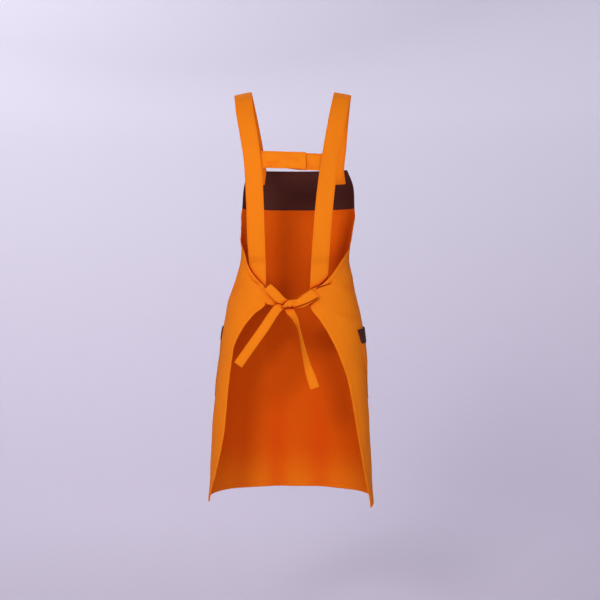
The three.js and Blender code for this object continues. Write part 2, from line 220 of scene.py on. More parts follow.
def onPanel(share, front):
    share, front = grown(share, front)
    left = read(edges, "front", "leftTurn", front)
    right = read(edges, "front", "rightTurn", front)
    turn = np.radians((left - right) / 2 + share * (left + right) / 2)
    edge = np.where(share > 0, read(edges, "front", "leftZ", front), read(edges, "front", "rightZ", front))
    return onOutline(turn, front + (edge - front) * share**2)


# A point of the panel's middle surface and the direction out of the cloth there
def panelFrame(share, front):
    nudge, rise = probeSettings["share"], probeSettings["row"]
    across = onPanel(share + nudge, front) - onPanel(share - nudge, front)
    along = onPanel(share, front + rise) - onPanel(share, front - rise)
    return onPanel(share, front), unit(np.cross(across, along))


# How much share makes one millimetre square to a side edge, evened out along the edge
def edgeScale(front, side):
    nudge, rise, count = (probeSettings[key] for key in ("edgeShare", "edgeRow", "evenOver"))
    rows = np.linspace(hemLine + 1, bibTop, probeSettings["edgeRows"])
    along = unit(onPanel(side, rows + rise) - onPanel(side, rows - rise))
    inward = (onPanel(side * (1 - nudge), rows) - onPanel(side, rows)) / nudge
    square = np.maximum(lengths(np.cross(along, inward)), probeSettings["leastSquare"] * lengths(inward))
    even = np.convolve(np.pad(square, count // 2, mode="edge"), np.full(count, 1 / count), mode="valid")
    return 1 / np.interp(front, rows, even)


# Distance in from the nearer side edge
def fromSide(share, front):
    return (1 - np.abs(share)) / np.where(share > 0, edgeScale(front, 1), edgeScale(front, -1))


# How many millimetres one unit of share makes halfway round one side
def mmPerShare(side, front):
    nudge = probeSettings["edgeShare"]
    return lengths(onPanel(side * (0.5 + nudge), front) - onPanel(side * 0.5, front)) / nudge


# Shares across the panel, in given steps from both edges and more evenly between them
def sharesAcross(front, steps, columns, crowd=0):
    left = 1 - np.outer(edgeScale(front, 1), steps)
    right = -1 + np.outer(edgeScale(front, -1), steps)
    t = np.linspace(0, 1, columns + 2)[1:-1]
    t = t - crowd * np.sin(2 * np.pi * t) / (2 * np.pi)
    between = right[:, -1:] * (1 - t) + left[:, -1:] * t
    return np.concatenate([right, between, left[:, ::-1]], axis=1)


# Shader arithmetic: a socket that adds and multiplies like a number
class Wire:
    def __init__(self, tree, socket):
        self.tree = tree
        self.socket = socket

    def node(self, kind, inputs, output=0, **settings):
        made = self.tree.nodes.new(kind)
        for name, value in settings.items():
            setattr(made, name, value)
        for key, value in inputs.items():
            if isinstance(value, Wire):
                self.tree.links.new(value.socket, made.inputs[key])
            else:
                made.inputs[key].default_value = value
        return Wire(self.tree, made.outputs[output])

    def math(self, operation, *values):
        return self.node("ShaderNodeMath", dict(enumerate((self, *values))), operation=operation)

    def noise(self, scale, detail):
        return self.node("ShaderNodeTexNoise", {"Vector": self, "Scale": scale, "Detail": detail})

    def mix(self, share, first, second, blend="MIX"):
        inputs = {0: share, 6: first, 7: second}
        return self.node("ShaderNodeMix", inputs, 2, data_type="RGBA", blend_type=blend)

    def __add__(self, other):
        return self.math("ADD", other)

    def __mul__(self, other):
        return self.math("MULTIPLY", other)

    def __sub__(self, other):
        return self.math("SUBTRACT", other)

    def __rsub__(self, other):
        return (self * -1) + other

    __radd__ = __add__
    __rmul__ = __mul__


# Cloth material: two tones mixed by mottling, painted shade on the inner layer and in the gaps, seams and
# fold valleys, and a twill relief
def twill(name, look):
    material = bpy.data.materials.new(name)
    material.use_nodes = True
    tree = material.node_tree
    shader = tree.nodes["Principled BSDF"]
    shader.inputs["Sheen Weight"].default_value = look["sheen"]
    shader.inputs["Sheen Roughness"].default_value = look["sheenRough"]
    shader.inputs["Sheen Tint"].default_value = (*look["light"], 1)
    shader.inputs["Specular IOR Level"].default_value = look["gloss"]
    start = Wire(tree, None)
    spot = start.node("ShaderNodeTexCoord", {}, "Object")
    weave = start.node("ShaderNodeUVMap", {}, uv_map="weave")
    across = weave.node("ShaderNodeSeparateXYZ", {0: weave}, 0)
    along = weave.node("ShaderNodeSeparateXYZ", {0: weave}, 1)
    # Painted shade amounts stored on the points: crease for gaps, seams and valleys, inside for the panel's
    # inner layer
    crease = start.node("ShaderNodeAttribute", {}, "Fac", attribute_name="crease")
    inside = start.node("ShaderNodeAttribute", {}, "Fac", attribute_name="inside")
    broad = spot.noise(look["mottleScale"], look["mottleDetail"])
    fine = weave.noise(look["grainScale"], look["grainDetail"])
    tone = 0.5 + (broad - 0.5) * look["mottle"] + (fine - 0.5) * look["grain"]
    tone = tone.math("MAXIMUM", 0.0).math("MINIMUM", 1.0)
    colour = tone.mix(tone, (*look["dark"], 1), (*look["light"], 1))
    # Painted shade: the crease amount deepens and reddens the colour where cloth lies close over cloth,
    # along stitched grooves and in fold valleys
    redLoss, greenLoss, blueLoss = look["paintedShadeLoss"]
    kept = (1 - crease * crease * redLoss, 1 - crease * greenLoss, 1 - crease * blueLoss)
    paintedShade = crease.node("ShaderNodeCombineColor", dict(enumerate(kept)))
    # Painted shade on the inner layer, then painted shade in gaps, seams and valleys
    for share, tint in ((inside, (*look["inside"], 1)), (1.0, paintedShade)):
        colour = colour.mix(share, colour, tint, "MULTIPLY")
    tree.links.new(colour.socket, shader.inputs["Base Color"])
    rough = look["rough"] + (fine - 0.5) * look["roughSpread"]
    tree.links.new(rough.socket, shader.inputs["Roughness"])
    ribs = ((across * look["ribSlant"] + along) * (2 * math.pi / (look["rib"] * mm))).math("SINE")
    slubs = weave.noise(look["slubScale"], look["slubDetail"])
    height = ribs * look["ribHeight"] + slubs * look["slubHeight"]
    bump = {"Strength": look["relief"], "Distance": look["reliefDepth"] * mm, "Height": height}
    relief = height.node("ShaderNodeBump", bump)
    tree.links.new(relief.socket, shader.inputs["Normal"])
    return material


orangeLook = {
    "light": (0.86, 0.264, 0.011),
    "dark": (0.74, 0.192, 0.006),
    # Painted shade tint for the inner layer
    "inside": (0.87, 0.54, 0.18),
    "paintedShadeLoss": (0.64, 0.97, 1.0),
    "mottle": 0.55,
    "mottleScale": 7.0,
    "mottleDetail": 3.0,
    "grain": 0.5,
    "grainScale": 900.0,
    "grainDetail": 2.0,
    "rough": 0.84,
    "roughSpread": 0.12,
    "sheen": 0.02,
    "sheenRough": 0.5,
    "gloss": 0.15,
    "rib": 1.1,
    "ribSlant": 0.75,
    "ribHeight": 0.5,
    "slubScale": 260.0,
    "slubDetail": 3.0,
    "slubHeight": 1.4,
    "relief": 0.35,
    "reliefDepth": 0.3,
}
brownLook = {
    **orangeLook,
    "light": (0.110, 0.038, 0.028),
    "dark": (0.066, 0.021, 0.017),
    "inside": (0.9, 0.9, 0.9),
    "paintedShadeLoss": (0.5, 0.5, 0.5),
    "sheen": 0.04,
}
threadFinish = {"relief": 0.0, "sheen": 0.0}
threadLook = {**orangeLook, "light": (0.92, 0.32, 0.014), "dark": (0.80, 0.24, 0.008), **threadFinish}
brownThreadLook = {**brownLook, "light": (0.075, 0.036, 0.038), **threadFinish}
orange = twill("orange_twill", orangeLook)
brown = twill("brown_twill", brownLook)
orangeThread = twill("orange_thread", threadLook)
brownThread = twill("brown_thread", brownThreadLook)
print("materials made")


# The unit normal at each point of a grid
def gridNormals(grid):
    return unit(np.cross(np.gradient(grid, axis=1), np.gradient(grid, axis=0)))


# Cloth coordinates of a grid, measured along it from its middle column
def weaveOf(grid):
    acrossSteps = lengths(np.diff(grid, axis=1))
    across = np.concatenate([np.zeros((len(grid), 1)), np.cumsum(acrossSteps, axis=1)], axis=1)
    across -= across[:, grid.shape[1] // 2][:, None]
    return np.stack([across, runOf(grid)[:, None] + 0 * across], -1) * mm


def addPiece(piece, node=None):
    scene.collection.objects.link(piece)
    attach(piece, "root")
    if node:
        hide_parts(node)
    return piece


# A closed piece of cloth from its outer and inner layers, with a rounded rim
rimReach = 0.35


def clothPiece(name, outer, inner, material, node, crease=None, insideShadeAmount=0.0):
    rows, columns = outer.shape[:2]
    behind = rows * columns
    index = np.arange(behind).reshape(rows, columns)
    border = np.concatenate([index[0, :-1], index[:-1, -1], index[-1, :0:-1], index[:0:-1, 0]])
    r, c = np.divmod(border, columns)
    outside = unit(outer[r, c] - outer[np.clip(r, 1, rows - 2), np.clip(c, 1, columns - 2)])
    thick = lengths(outer[r, c] - inner[r, c])
    rimPoints = (outer[r, c] + inner[r, c]) / 2 + outside * (thick * rimReach)[:, None]
    points = np.concatenate([outer.reshape(-1, 3), inner.reshape(-1, 3), rimPoints]) * mm
    corners = (index[:-1, :-1], index[:-1, 1:], index[1:, 1:], index[1:, :-1])
    a, b, d, e = (corner.ravel() for corner in corners)
    middle = 2 * behind + np.arange(len(border))
    following, middleNext = np.roll(border, -1), np.roll(middle, -1)
    faces = np.concatenate(
        [
            np.stack([a, b, d, e], 1),
            np.stack([a, e, d, b], 1) + behind,
            np.stack([border, middle, middleNext, following], 1),
            np.stack([middle, border + behind, following + behind, middleNext], 1),
        ]
    )
    mesh = bpy.data.meshes.new(name)
    mesh.from_pydata(points.tolist(), [], faces.tolist())
    mesh.polygons.foreach_set("use_smooth", np.ones(len(faces), bool))
    weave = weaveOf(outer).reshape(-1, 2)
    pointWeave = np.concatenate([weave, weave, weave[border]])
    loopPoint = np.empty(len(mesh.loops), np.int32)
    mesh.loops.foreach_get("vertex_index", loopPoint)
    loopWeave = pointWeave[loopPoint].astype(np.float32).ravel()
    mesh.uv_layers.new(name="weave").data.foreach_set("uv", loopWeave)
    # Painted shade stored on the points: crease for gaps, seams and valleys; inside for the inner layer,
    # half of it on the rim
    shades = [layer.ravel() for layer in crease] if crease else [np.zeros(behind)] * 2
    hidden = np.broadcast_to(insideShadeAmount, (rows, columns)).ravel()
    values = {
        "inside": np.concatenate([np.zeros(behind), hidden, hidden[border] / 2]),
        "crease": np.concatenate([*shades, shades[0][border]]),
    }
    for label, value in values.items():
        mesh.attributes.new(label, "FLOAT", "POINT").data.foreach_set("value", value.astype(np.float32))
    mesh.materials.append(material)
    return addPiece(bpy.data.objects.new(name, mesh), node)


# Stitches: a node tree that sets small threads along drawn lines
stitchSettings = {
    "pitch": 3.3,
    "length": 2.5,
    "width": 0.62,
    "height": 0.46,
    "seed": 7,
    "uneven": (0.82, 1.08),
    "lineStep": 1.5,
}


def stitchTree():
    tree = bpy.data.node_groups.new("stitches", "GeometryNodeTree")
    face = tree.interface
    face.new_socket("Geometry", in_out="INPUT", socket_type="NodeSocketGeometry")
    face.new_socket("Geometry", in_out="OUTPUT", socket_type="NodeSocketGeometry")
    for name in ("Pitch", "Length", "Width", "Height"):
        face.new_socket(name, in_out="INPUT", socket_type="NodeSocketFloat")
    face.new_socket("Seed", in_out="INPUT", socket_type="NodeSocketInt")
    face.new_socket("Thread", in_out="INPUT", socket_type="NodeSocketMaterial")

    def make(kind, **settings):
        made = tree.nodes.new(kind)
        for name, value in settings.items():
            setattr(made, name, value)
        return made

    def link(source, output, target, socket):
        tree.links.new(source.outputs[output], target.inputs[socket])

    given = make("NodeGroupInput")
    line = make("GeometryNodeMeshToCurve")
    even = make("GeometryNodeResampleCurve", mode="LENGTH")
    tangent = make("GeometryNodeInputTangent")
    turn = make("FunctionNodeAlignRotationToVector", axis="X")
    thread = make("GeometryNodeMeshIcoSphere")
    thread.inputs["Subdivisions"].default_value = 1
    size = make("ShaderNodeCombineXYZ")
    halves = [make("ShaderNodeMath", operation="MULTIPLY") for _ in range(3)]
    chance = make("FunctionNodeRandomValue", data_type="FLOAT")
    chance.inputs[2].default_value, chance.inputs[3].default_value = stitchSettings["uneven"]
    uneven = make("ShaderNodeVectorMath", operation="SCALE")
    put = make("GeometryNodeInstanceOnPoints")
    real = make("GeometryNodeRealizeInstances")
    smoothFaces = make("GeometryNodeSetShadeSmooth")
    paint = make("GeometryNodeSetMaterial")
    out = make("NodeGroupOutput")
    link(given, "Geometry", line, "Mesh")
    link(line, "Curve", even, "Curve")
    link(given, "Pitch", even, "Length")
    for half, name, axis in zip(halves, ("Length", "Width", "Height"), ("X", "Y", "Z")):
        half.inputs[1].default_value = 0.5
        link(given, name, half, 0)
        link(half, 0, size, axis)
    link(given, "Seed", chance, "Seed")
    link(size, 0, uneven, 0)
    link(chance, 1, uneven, "Scale")
    link(tangent, 0, turn, "Vector")
    link(even, "Curve", put, "Points")
    link(thread, "Mesh", put, "Instance")
    link(turn, "Rotation", put, "Rotation")
    link(uneven, "Vector", put, "Scale")
    link(put, "Instances", real, "Geometry")
    link(real, "Geometry", smoothFaces, "Geometry")
    link(smoothFaces, "Geometry", paint, "Geometry")
    link(given, "Thread", paint, "Material")
    link(paint, "Geometry", out, 0)
    return tree


stitches = stitchTree()


def stitchPiece(name, lines, thread):
    points, links, start = [], [], 0
    for line in lines:
        points.extend((line * mm).tolist())
        links.extend((start + i, start + i + 1) for i in range(len(line) - 1))
        start += len(line)
    drawn = bpy.data.meshes.new(name + "_line")
    drawn.from_pydata(points, links, [])
    host = bpy.data.objects.new(name + "_line", drawn)
    scene.collection.objects.link(host)
    modifier = host.modifiers.new("stitches", "NODES")
    values = {key.capitalize(): stitchSettings[key] * mm for key in ("pitch", "length", "width", "height")}
    values.update({"Seed": stitchSettings["seed"], "Thread": thread})
    modifier.node_group = stitches
    for socket in stitches.interface.items_tree:
        if socket.in_out == "INPUT" and socket.name in values:
            modifier[socket.identifier] = values[socket.name]
    made = bpy.data.meshes.new_from_object(host.evaluated_get(bpy.context.evaluated_depsgraph_get()))
    made.name = name
    bpy.data.objects.remove(host)
    made.materials.clear()
    made.materials.append(thread)
    return addPiece(bpy.data.objects.new(name, made))


# Lines of stitches up both sides of a surface of the panel, and straight across it
def sideSeams(surface, rows, inset, layer):
    return [surface(side * (1 - inset * edgeScale(rows, side)), rows, layer) for side in (1, -1)]


def crossSeam(surface, front, inset, count, layer):
    right, left = (side * (1 - inset * edgeScale(front, side)) for side in (-1, 1))
    return surface(np.linspace(right, left, count), front, layer)


# Panel: hemmed edges, drag folds and a soft unevenness
panelSettings = {
    "wall": 1.2,
    "hemWidth": 10,
    "hemFade": (0.6, 0.8),
    "hemDepth": {"outer": 0.35, "inner": 0.8},
    "stitchInset": 8,
    "groove": 0.3,
    "grooveWidth": 0.7,
    "perShare": 330,
    "perDegree": 2.3,
    "pucker": {"height": 0.35, "waves": (11, 17, 23, 31), "seed": 3},
    "puckerWidth": 13,
    "uneven": {"height": 0.8, "waves": (95, 130, 170, 230), "seed": 5},
    "unevenFrom": (0, 30),
    "unevenBelow": (bibSeam - 20, bibSeam - 70),
    "crumple": {"height": 0.13, "waves": (19, 27, 37, 48), "seed": 9},
    "crumpleFrom": (2, 25),
    "foldStart": (-0.15, 0.3),
    "foldEnd": (1.25, 0.7),
    # Painted shade in the valleys of the drag folds and inside the flutes
    "foldShade": 0.15,
    "foldShadeFrom": (0, 40),
    "fluteShade": 0.042,
    "fluteShadeTurns": (60, 35),
    # Painted shade on the inner layer, fading out below this height towards the hem
    "insideShadeFade": 0.7,
    "insideShadeFadeBelow": -830,
    "columns": 150,
    "crowdSides": 0.35,
    "seamPoints": 420,
}
edgeSteps = np.array([0, 0.5, 1.2, 2.6, 4.0, 5.2, 6.2, 7, 7.5, 8, 8.5, 9, 9.7, 10.3, 11.2, 13, 16])
rowRuns = ((-920, -500, 5.0), (-500, -338, 2.0), (-338, bandLow - 6, 4.0))
topRows = (bandLow - 5, bandLow + 0.3, 6)
# Painted shade along the stitched groove and along the hem's edge
seamShades = table("deep at width", (0.10, 8, 1.0), (0.06, 10.4, 0.9))
folds = table(
    "turn z turnTo zTo width height",
    (-128, -512, -104, -528, 5, -0.9),
    (-131, -520, -103, -541, 9, 1.0),
    (-140, -500, -112, -556, 12, 0.8),
    (128, -500, 104, -545, 12, 0.8),
    (-118, -450, -98, -462, 10, -0.9),
    (116, -440, 100, -470, 10, -0.7),
    (-112, -640, -100, -760, 16, 1.2),
    (112, -660, 101, -800, 16, 1.2),
    (80, -432, 40, -392, 9, 1.4),
    (82, -452, 42, -440, 11, -1.0),
    (-80, -438, -42, -402, 9, 1.3),
    (-84, -458, -46, -449, 11, -0.9),
    (22, -325, 12, -425, 13, 1.1),
    (-20, -330, -9, -435, 13, 1.0),
    (40, -590, 30, -780, 17, 1.3),
    (4, -570, -4, -760, 18, -1.2),
    (-44, -600, -36, -800, 17, 1.3),
)

# Wings: the rolled hem along the top of each, its furrow, and the end that is sewn to the tie lead
wingSettings = {
    "roll": 1.6,
    "rollAt": 2.2,
    "rollWidth": 2.4,
    "furrowAt": 8.4,
    "furrowWidth": 2.0,
    "endLow": -466,
    "endHigh": -438,
    "endSoft": 3,
    "endDip": 1.3,
    "endWidth": 14,
    "endThinner": 0.5,
    "hemless": 20,
}
wingRolls = table("side front spread furrow", (1, -418, 15, 1.3), (-1, -425, 10, 3.2))


def foldHeight(points):
    perDegree = panelSettings["perDegree"]
    girth = np.degrees(turnOf(points)) * perDegree
    total = 0
    for turn, z, turnTo, zTo, width, height in zip(*folds.values()):
        runX, runZ = (turnTo - turn) * perDegree, zTo - z
        length = math.hypot(runX, runZ)
        offX, offZ = girth - turn * perDegree, points[..., 2] - z
        along = (offX * runX + offZ * runZ) / length**2
        away = (offX * runZ - offZ * runX) / length
        fade = step(along, *panelSettings["foldStart"]) * step(along, *panelSettings["foldEnd"])
        total = total + height * fade * bell(away, 0, width)
    return total


# How far the hem at the top of each wing is rolled out, with a furrow under it
def rollHeight(share, front, sideEdge):
    roll = wingSettings["roll"] * bell(sideEdge, wingSettings["rollAt"], wingSettings["rollWidth"])
    hollow = bell(sideEdge, wingSettings["furrowAt"], wingSettings["furrowWidth"])
    total = 0
    for side, row, spread, furrow in zip(*wingRolls.values()):
        total = total + (share * side > 0) * (roll - furrow * hollow) * bell(front, row, spread)
    return total


# One where a wing ends in its tie lead and the cloth isn't hemmed
def wingEnd(front):
    low, high, soft = (wingSettings[key] for key in ("endLow", "endHigh", "endSoft"))
    return step(front, low - soft, low + soft) * step(front, high + soft, high - soft)


def panelLayer(share, front, layer):
    share, front = grown(share, front)
    middle, out = panelFrame(share, front)
    girth = share * panelSettings["perShare"]
    sideEdge = fromSide(share, front)
    edge = np.minimum(sideEdge, front - hemLine)
    before, after = panelSettings["hemFade"]
    hem = 1 - step(edge, panelSettings["hemWidth"] - before, panelSettings["hemWidth"] + after)
    hem = hem * (1 - wingEnd(front) * (sideEdge < wingSettings["hemless"]))
    pucker = bell(edge, 0, panelSettings["puckerWidth"]) * ripples(front, girth, panelSettings["pucker"])
    uneven = ripples(girth, front, panelSettings["uneven"]) * step(edge, *panelSettings["unevenFrom"])
    uneven = uneven * step(front, *panelSettings["unevenBelow"])
    crumple = ripples(girth, front, panelSettings["crumple"]) * step(edge, *panelSettings["crumpleFrom"])
    dip = wingEnd(front) * (1 - step(sideEdge, 0, wingSettings["endWidth"]))
    shift = foldHeight(middle) + pucker + uneven + crumple + rollHeight(share, front, sideEdge)
    shift = shift - wingSettings["endDip"] * dip
    groove = panelSettings["groove"] * bell(edge, panelSettings["stitchInset"], panelSettings["grooveWidth"])
    half = panelSettings["wall"] / 2 * (1 - wingSettings["endThinner"] * dip)
    half = half + panelSettings["hemDepth"][layer] * hem - groove
    return middle + out * (shift + layerSign[layer] * half)[..., None]


betweenRows = [np.arange(*run) for run in rowRuns]
panelFronts = np.concatenate([hemLine + edgeSteps, *betweenRows, np.linspace(*topRows)])
shares = sharesAcross(panelFronts, edgeSteps, panelSettings["columns"], panelSettings["crowdSides"])
rows = panelFronts[:, None]
outer, inner = (panelLayer(shares, rows, layer) for layer in layerSign)
edge = np.minimum(fromSide(shares, rows), rows - hemLine)
# Painted shade: along the stitched groove and the hem's edge, in the valleys of drag folds at the back, and
# in the inner layer's flutes
seamShade = sum(deep * bell(edge, at, width) for deep, at, width in zip(*seamShades.values()))
seamShade = seamShade * (1 - wingEnd(rows))
panelMiddle = onPanel(shares, rows)
dragShade = panelSettings["foldShade"] * np.clip(-foldHeight(panelMiddle), 0, 1)
seamShade = seamShade + dragShade * step(panelMiddle[..., 1], *panelSettings["foldShadeFrom"])
panelTurn = turnOf(inner)
fluteShade = panelSettings["fluteShade"] * fluteHeight(panelTurn, inner[..., 2])
fluteShade = fluteShade * step(np.abs(panelTurn), *np.radians(panelSettings["fluteShadeTurns"]))
shades = (seamShade, seamShade + fluteShade)
# Painted shade on the panel's inner layer, weaker towards the hem
deep = 1 - panelSettings["insideShadeFade"] * step(rows, panelSettings["insideShadeFadeBelow"], hemLine)
panel = clothPiece("panel_cloth", outer, inner, orange, "apron_panel", shades, insideShadeAmount=deep)

inset = panelSettings["stitchInset"]
seamRows = np.arange(hemLine + inset, bandLow, stitchSettings["lineStep"])
panelLines = []
for layer in layerSign:
    panelLines += sideSeams(panelLayer, seamRows, inset, layer)
    panelLines.append(crossSeam(panelLayer, seamRows[0], inset, panelSettings["seamPoints"], layer))
panelStitches = stitchPiece("panel_stitches", panelLines, orangeThread)
print("panel made")


# Bib band: a doubled contrast band that takes in the panel's top edge
bandSettings = {
    "wall": 2.0,
    "stitchInset": 2.5,
    "groove": 0.25,
    "grooveWidth": 0.6,
    "rounding": 0.3,
    "roundingWidth": 0.7,
    "perShare": 180,
    "uneven": {"height": 0.5, "waves": (60, 85, 120), "seed": 11},
    "unevenFrom": (0, 25),
    "columns": 90,
    "seamPoints": 200,
}
bandSteps = np.array([0, 0.4, 1.0, 1.8, 2.5, 3.2, 4.2, 6, 9])
bandRows = (-252, -184, 4.0)
bandFronts = np.concatenate([bandLow + bandSteps, np.arange(*bandRows), bibTop - bandSteps[::-1]])


def bandLayer(share, front, layer):
    share, front = grown(share, front)
    middle, out = panelFrame(share, front)
    nearest = np.minimum(np.minimum(front - bandLow, bibTop - front), fromSide(share, front))
    rounding = bandSettings["rounding"] * bell(nearest, 0, bandSettings["roundingWidth"])
    groove = bandSettings["groove"] * bell(nearest, bandSettings["stitchInset"], bandSettings["grooveWidth"])
    uneven = ripples(share * bandSettings["perShare"], front, bandSettings["uneven"])
    uneven = uneven * step(nearest, *bandSettings["unevenFrom"])
    half = bandSettings["wall"] / 2 - rounding - groove
    return middle + out * (uneven + layerSign[layer] * half)[..., None]


shares = sharesAcross(bandFronts, bandSteps, bandSettings["columns"])
outer, inner = (bandLayer(shares, bandFronts[:, None], layer) for layer in layerSign)
bibBand = clothPiece("bib_band_cloth", outer, inner, brown, "bib_band")
inset = bandSettings["stitchInset"]
seamRows = np.arange(bandLow + inset, bibTop - inset, stitchSettings["lineStep"])
bandLines = []
for layer in layerSign:
    for front in (bandLow + inset, bibTop - inset):
        bandLines.append(crossSeam(bandLayer, front, inset, bandSettings["seamPoints"], layer))
    bandLines += sideSeams(bandLayer, seamRows, inset, layer)
print("bib band made")


# Pockets: a patch on the panel, a little fuller in the middle, and a contrast band along its mouth
pocketSettings = {
    "inner": 5 / 22,
    "outer": 17 / 22,
    "bottom": -705,
    "seam": -570,
    "top": -541,
    "wall": 1.2,
    "stand": 1.5,
    "swell": 2.5,
    "uneven": {"height": 0.4, "waves": (38, 55, 80), "seed": 17},
    "stitchInsets": (2.2, 7.2),
    "groove": 0.25,
    "grooveWidth": 0.6,
    "hem": 0.3,
    "hemFade": (8.2, 9.4),
    "rounding": 0.3,
    "roundingWidth": 0.7,
    "columns": 44,
    "rowsFrom": 15,
    "rowStep": 4.0,
    "lastRow": 1,
    "seamStop": 2,
    "seamPoints": 160,
}
pocketBandSettings = {
    "lift": 1.0,
    "lap": 3,
    "rounding": 0.4,
    "stitchInset": 2.2,
    "stitchEnd": 0.006,
    "overPocket": 0.25,
    "overSoft": 1.2,
    "edgeRows": 8,
    "rowsFrom": 5,
    "rowsTo": 7,
    "rowStep": 3.0,
}
pocketSteps = np.array([0, 0.4, 1.0, 1.7, 2.2, 2.8, 4.4, 6.5, 7.2, 7.9, 9.5])
pocketLow, pocketHigh = pocketSettings["inner"], pocketSettings["outer"]


def pocketShares(side, front):
    scale = 1 / mmPerShare(side, front)
    near = pocketLow + np.outer(scale, pocketSteps)
    far = pocketHigh - np.outer(scale, pocketSteps[::-1])
    t = np.linspace(0, 1, pocketSettings["columns"] + 2)[1:-1]
    between = near[:, -1:] * (1 - t) + far[:, :1] * t
    shares = side * np.concatenate([near, between, far], axis=1)
    return shares if side > 0 else shares[:, ::-1]


def pocketSurface(share, front, lift):
    share, front = grown(share, front)
    across = np.sin(np.pi * np.clip((np.abs(share) - pocketLow) / (pocketHigh - pocketLow), 0, 1))
    up = (front - pocketSettings["bottom"]) / (pocketSettings["top"] - pocketSettings["bottom"])
    up = np.pi * np.clip(up, 0, 1)
    swell = pocketSettings["swell"] * across * np.sin(up / 2)
    uneven = ripples(share * panelSettings["perShare"], front, pocketSettings["uneven"])
    uneven = uneven * across * np.sin(up)
    stand = pocketSettings["stand"] - panelSettings["wall"] / 2
    out = panelFrame(share, front)[1]
    return panelLayer(share, front, "outer") + out * (stand + swell + uneven + lift)[..., None]


def pocketEdge(share, front, bottom, top):
    side = np.minimum(np.abs(share) - pocketLow, pocketHigh - np.abs(share))
    side = side * mmPerShare(np.sign(share), front)
    return np.minimum(side, np.minimum(front - bottom, top - front))


def pocketGroove(edge, inset):
    return pocketSettings["groove"] * bell(edge, inset, pocketSettings["grooveWidth"])


pocketLines = []
pocketBandLines = []
bottom, seam, top = (pocketSettings[key] for key in ("bottom", "seam", "top"))
half = pocketSettings["wall"] / 2
bandFoot = seam - pocketBandSettings["lap"]
bandLift = half + pocketBandSettings["lift"]
bandEdgeSteps = pocketSteps[: pocketBandSettings["edgeRows"]]
lastRow = seam - pocketSettings["lastRow"]
between = np.arange(bottom + pocketSettings["rowsFrom"], lastRow, pocketSettings["rowStep"])
pocketFronts = np.concatenate([bottom + pocketSteps, between, [lastRow, seam]])
fromRow, toRow = seam + pocketBandSettings["rowsFrom"], top - pocketBandSettings["rowsTo"]
between = np.arange(fromRow, toRow, pocketBandSettings["rowStep"])
pocketBandFronts = np.concatenate([bandFoot + bandEdgeSteps, between, top - bandEdgeSteps[::-1]])
for name, side in sides:
    shares = pocketShares(side, pocketFronts)
    rows = pocketFronts[:, None]
    edge = pocketEdge(shares, rows, bottom, math.inf)
    groove = sum(pocketGroove(edge, inset) for inset in pocketSettings["stitchInsets"])
    hem = pocketSettings["hem"] * (1 - step(edge, *pocketSettings["hemFade"]))
    rounding = pocketSettings["rounding"] * bell(edge, 0, pocketSettings["roundingWidth"])
    outer = pocketSurface(shares, rows, half + hem - rounding - groove)
    inner = pocketSurface(shares, rows, -half)
    # Painted shade in the stitched grooves
    shades = (groove, 0 * groove)
    clothPiece(f"pocket_{name}_cloth", outer, inner, orange, f"pocket_{name}", shades)
    for inset in pocketSettings["stitchInsets"]:
        rows = np.arange(bottom + inset, seam - pocketSettings["seamStop"], stitchSettings["lineStep"])
        reach = inset / mmPerShare(side, rows)
        for share in (pocketLow + reach, pocketHigh - reach):
            pocketLines.append(pocketSurface(side * share, rows, half))
        line = side * np.linspace(pocketLow + reach[0], pocketHigh - reach[0], pocketSettings["seamPoints"])
        pocketLines.append(pocketSurface(line, bottom + inset, half))

    shares = pocketShares(side, pocketBandFronts)
    rows = pocketBandFronts[:, None]
    edge = pocketEdge(shares, rows, bandFoot, top)
    inset = pocketBandSettings["stitchInset"]
    groove = pocketGroove(np.minimum(rows - bandFoot, top - rows), inset)
    rounding = pocketBandSettings["rounding"] * bell(edge, 0, pocketSettings["roundingWidth"])
    over = 1 - step(rows, seam, seam + pocketBandSettings["overSoft"])
    outer = pocketSurface(shares, rows, bandLift - rounding - groove)
    inner = pocketSurface(shares, rows, -half + (2 * half + pocketBandSettings["overPocket"]) * over)
    clothPiece(f"pocket_band_{name}_cloth", outer, inner, brown, f"pocket_band_{name}")
    for front in (bandFoot + inset, top - inset):
        ends = pocketLow + pocketBandSettings["stitchEnd"], pocketHigh - pocketBandSettings["stitchEnd"]
        line = side * np.linspace(*ends, pocketSettings["seamPoints"])
        pocketBandLines.append(pocketSurface(line, front, bandLift))
stitchPiece("pocket_stitches", pocketLines, orangeThread)
bandStitches = stitchPiece("band_stitches", bandLines + pocketBandLines, brownThread)
print("pockets made")


# A strip of doubled cloth along a line: places across it, its soft section and its two stitched edges
stripSteps = np.array([0, 0.35, 0.9, 1.7, 2.4, 3.0, 3.6, 4.6, 6.4])
stripSettings = {
    "wall": 2.0,
    "stitchInset": 3.0,
    "groove": 0.28,
    "grooveWidth": 0.6,
    "edge": 0.35,
    "edgeWidth": 0.8,
    "fill": 0.12,
    "fillFrom": (3.5, 9),
    "seamShade": 0.18,
    "shadeWidth": 0.8,
}
seamSpan = slice(2, -2)


def placesAcross(half, middleCount):
    shares = 1 - stripSteps / half
    between = np.linspace(-shares[-1], shares[-1], middleCount + 2)[1:-1]
    return np.concatenate([-shares, between, shares[::-1]])


def stripGroove(away):
    return stripSettings["groove"] * bell(away, stripSettings["stitchInset"], stripSettings["grooveWidth"])


